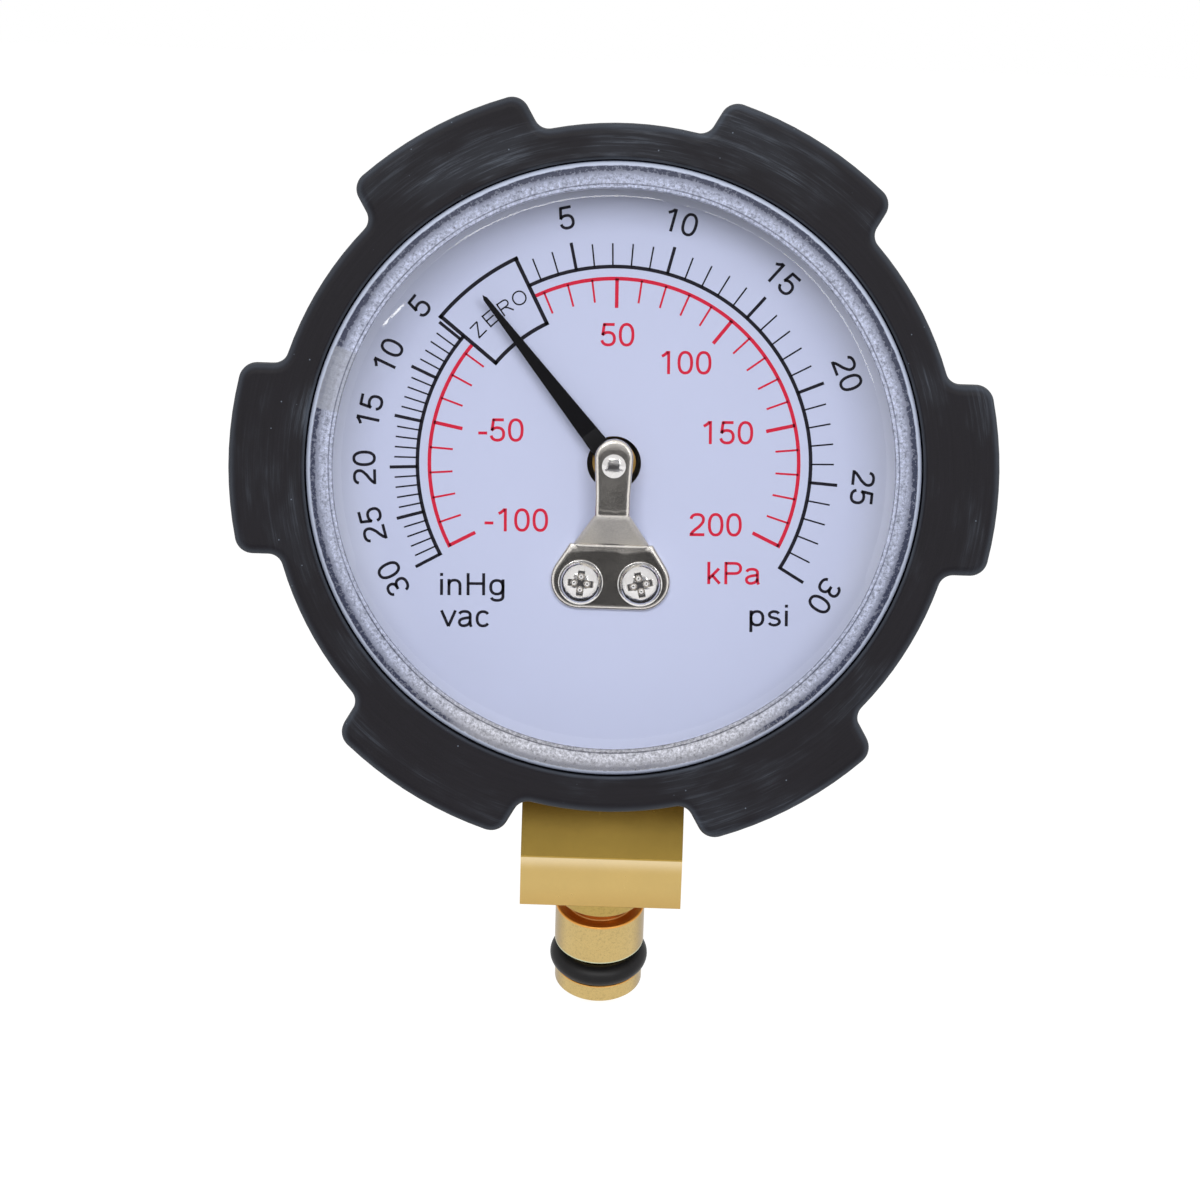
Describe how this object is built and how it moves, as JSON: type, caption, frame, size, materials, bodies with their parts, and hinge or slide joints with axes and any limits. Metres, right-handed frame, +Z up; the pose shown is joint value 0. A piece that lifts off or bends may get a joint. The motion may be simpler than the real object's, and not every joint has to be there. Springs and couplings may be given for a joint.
{
  "type": "vacuum pressure gauge",
  "caption": "Round compound gauge in a lugged rubber boot, with a clear bevelled window, a printed dial, a pointer under a screwed bridge, and an angled brass plug-in stub with a seal ring.",
  "frame": {"origin": "on the stub's axis, at the middle of its nose land below the seal ring", "axes": "+Z up along the upright dial, +X to the reader's right, +Y back away from the reader; the dial faces -Y and the stub points down and 30 degrees back"},
  "size_m": [0.077, 0.0287, 0.0939],
  "materials": {
    "boot_rubber": "moulded black rubber, satin, lightly scuffed",
    "case_paint": "drawn steel, black paint",
    "seal_rubber": "smooth black rubber",
    "window_clear": "clear moulded plastic, frosted rim",
    "dial_paint": "bluish white paint, satin",
    "bridge_steel": "stamped steel, bright rolled edges",
    "bright_steel": "plated steel",
    "block_brass": "drawn brass bar, satin",
    "stub_brass": "turned brass",
    "inner_brass": "brass",
    "pointer_paint": "black paint, satin"
  },
  "bodies": {
    "housing": {"rubber_boot": "boot_rubber", "case_cup": "case_paint", "blowout_plug": "seal_rubber", "window": "window_clear", "window_gasket": "seal_rubber", "dial_plate": "dial_paint", "front_bridge": "bridge_steel", "bridge_bearing": "bright_steel", "bridge_screws": "bright_steel", "screw_washers": "bright_steel", "rear_bracket": "bridge_steel", "rear_bearing": "inner_brass", "bracket_screws": "bright_steel", "socket_block": "block_brass", "case_screws": "bright_steel", "case_screw_seals": "seal_rubber", "pressure_coil": "inner_brass", "tube_inlet": "inner_brass", "stub_fitting": "stub_brass", "o_ring": "seal_rubber", "restrictor": "inner_brass"},
    "needle": {"pointer": "pointer_paint", "pointer_hub": "inner_brass", "arbor": "bright_steel", "coil_collet": "inner_brass", "collet_screw": "bright_steel"}
  },
  "joints": [
    {"name": "pointer_turn", "type": "hinge", "parent": "housing", "child": "needle", "pos_m": [0, -0.02408, 0.05408], "axis": [0, 1, 0], "range_deg": [-80, 161], "stiffness_Nm_per_rad": 0.0003, "deforming": ["pressure_coil"]}
  ]
}
